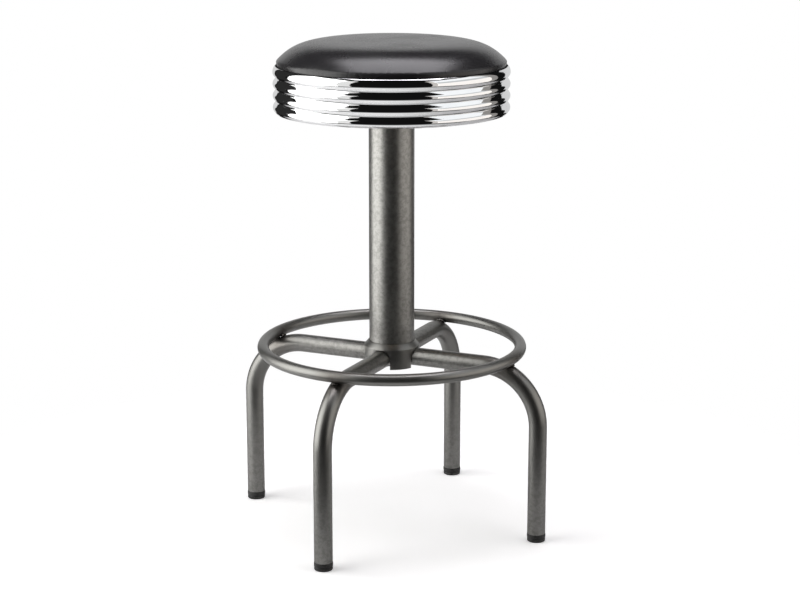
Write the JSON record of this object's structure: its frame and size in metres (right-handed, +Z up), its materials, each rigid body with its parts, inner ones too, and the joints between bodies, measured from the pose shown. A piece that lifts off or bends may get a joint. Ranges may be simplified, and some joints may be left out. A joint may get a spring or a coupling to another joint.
{
  "type": "bar stool",
  "caption": "Backless bar stool: round padded seat in a ribbed metal band, swivelling on a round column over bent tube legs with a footrest ring.",
  "frame": {"origin": "on the floor, at the centre of the base, under the column", "axes": "+Z up along the column and the swivel's axis; the legs stand on the diagonals between X and Y"},
  "size_m": [0.419, 0.419, 0.7622],
  "materials": {
    "satin_steel": "satin",
    "zinc_steel": "satin",
    "band_chrome": "polished",
    "vinyl": "satin",
    "seat_foam": "matte",
    "plywood": "matte",
    "foot_plastic": "matte"
  },
  "bodies": {
    "base": {"leg_front_left": "satin_steel", "leg_front_right": "satin_steel", "leg_back_left": "satin_steel", "leg_back_right": "satin_steel", "foot_cap_front_left": "foot_plastic", "foot_cap_front_right": "foot_plastic", "foot_cap_back_left": "foot_plastic", "foot_cap_back_right": "foot_plastic", "leg_hub": "satin_steel", "footrest_ring": "satin_steel", "base_collar": "satin_steel", "column_tube": "satin_steel", "column_bolt": "zinc_steel", "column_washer": "zinc_steel", "column_spring_washer": "zinc_steel", "column_nut_plate": "satin_steel", "column_weld_nut": "zinc_steel", "column_top_plate": "satin_steel", "swivel_fixed_plate": "zinc_steel", "plate_bolt_front_left": "zinc_steel", "plate_bolt_front_right": "zinc_steel", "plate_bolt_back_left": "zinc_steel", "plate_bolt_back_right": "zinc_steel", "plate_weld_nut_front_left": "zinc_steel", "plate_weld_nut_front_right": "zinc_steel", "plate_weld_nut_back_left": "zinc_steel", "plate_weld_nut_back_right": "zinc_steel"},
    "ball_cage": {"swivel_ball_cage": "zinc_steel"},
    "seat": {"swivel_seat_plate": "zinc_steel", "seat_screw_front_left": "zinc_steel", "seat_screw_front_right": "zinc_steel", "seat_screw_back_left": "zinc_steel", "seat_screw_back_right": "zinc_steel", "seat_tee_nut_front_left": "zinc_steel", "seat_tee_nut_front_right": "zinc_steel", "seat_tee_nut_back_left": "zinc_steel", "seat_tee_nut_back_right": "zinc_steel", "seat_board": "plywood", "seat_foam": "seat_foam", "seat_cover": "vinyl", "seat_band": "band_chrome", "band_clip_front_left": "zinc_steel", "band_clip_front_right": "zinc_steel", "band_clip_back_left": "zinc_steel", "band_clip_back_right": "zinc_steel", "band_clip_screw_front_left": "zinc_steel", "band_clip_screw_front_right": "zinc_steel", "band_clip_screw_back_left": "zinc_steel", "band_clip_screw_back_right": "zinc_steel"}
  },
  "joints": [
    {"name": "seat_swivel", "type": "hinge", "parent": "base", "child": "seat", "pos_m": [0, 0, 0.6837], "axis": [0, 0, 1], "continuous": true},
    {"name": "ball_cage_roll", "type": "hinge", "parent": "base", "child": "ball_cage", "pos_m": [0, 0, 0.6837], "axis": [0, 0, 1], "continuous": true}
  ],
  "couplings": [
    {"joint": "ball_cage_roll", "follows": "seat_swivel", "ratio": 0.5}
  ]
}
